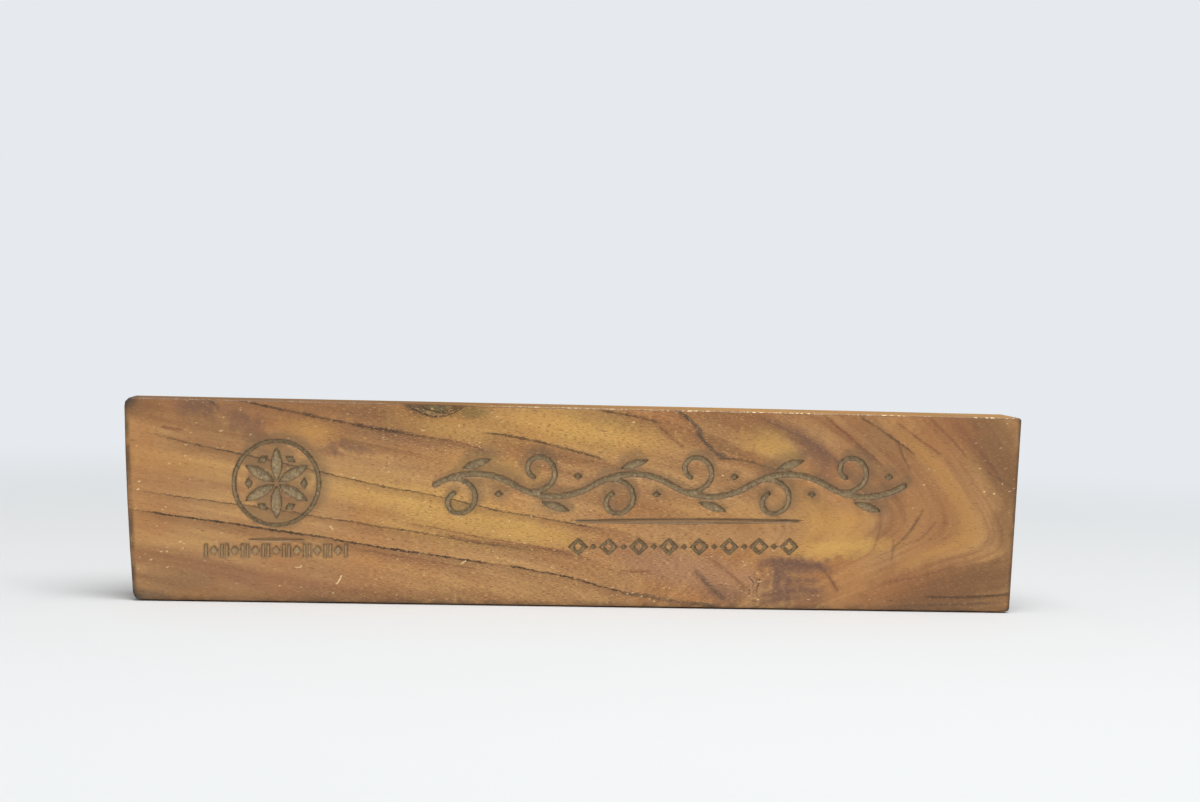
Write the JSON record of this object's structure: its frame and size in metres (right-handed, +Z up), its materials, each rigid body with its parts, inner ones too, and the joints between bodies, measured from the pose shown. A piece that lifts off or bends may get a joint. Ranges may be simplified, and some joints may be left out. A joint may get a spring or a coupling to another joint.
{
  "type": "desk name plate",
  "caption": "Self-standing desk name plate: a figured teak block with a tapered outline, an engraved and colour-filled ornamental front and thin felt pads underneath.",
  "frame": {"origin": "on the desk, under the middle of the plate's box", "axes": "+X along the plate to the right as the reader sees it, +Y from the engraved front to the back, +Z up"},
  "size_m": [0.2539, 0.02, 0.0564],
  "materials": {
    "teak": "satin varnish over open pores",
    "engraving_fill": "rough matt colour fill",
    "felt": "pressed felt"
  },
  "bodies": {
    "root": {"teak_block": "teak", "emblem_fill": "engraving_fill", "emblem_rule_fill": "engraving_fill", "caption_fill": "engraving_fill", "flourish_fill": "engraving_fill", "rule_fill": "engraving_fill", "title_fill": "engraving_fill", "front_left_pad": "felt", "front_right_pad": "felt", "rear_left_pad": "felt", "rear_right_pad": "felt"}
  },
  "joints": []
}
